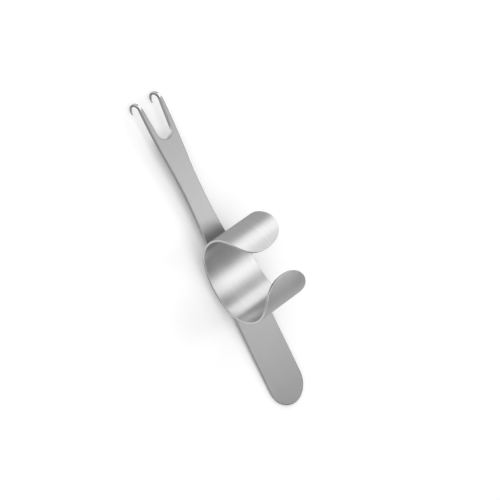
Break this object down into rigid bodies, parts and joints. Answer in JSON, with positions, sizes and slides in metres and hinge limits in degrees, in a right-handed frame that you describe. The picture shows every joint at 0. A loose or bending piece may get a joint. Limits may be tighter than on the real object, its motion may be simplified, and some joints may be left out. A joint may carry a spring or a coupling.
{
  "type": "nasal retractor",
  "caption": "Rigid hand-held nasal retractor: a waisted steel blade with a rounded plate end, a forked end with sharp hooks bent to the back, and an open oval finger ring on the front.",
  "frame": {"origin": "on the blade's flat back face, under the middle of the finger ring", "axes": "+X along the blade towards the rounded plate end, +Y across the blade, +Z the front, the side that carries the ring; the hooks are at -X and point to the back"},
  "size_m": [0.0778, 0.0148, 0.0185],
  "materials": {
    "blade_steel": "satin stainless steel, polished at the hook bends",
    "ring_steel": "satin stainless steel, fine brushing round the band",
    "braze_metal": "bright silver braze filler"
  },
  "bodies": {
    "root": {"blade": "blade_steel", "finger_ring": "ring_steel", "braze_plate_side": "braze_metal", "braze_fork_side": "braze_metal"}
  },
  "joints": []
}
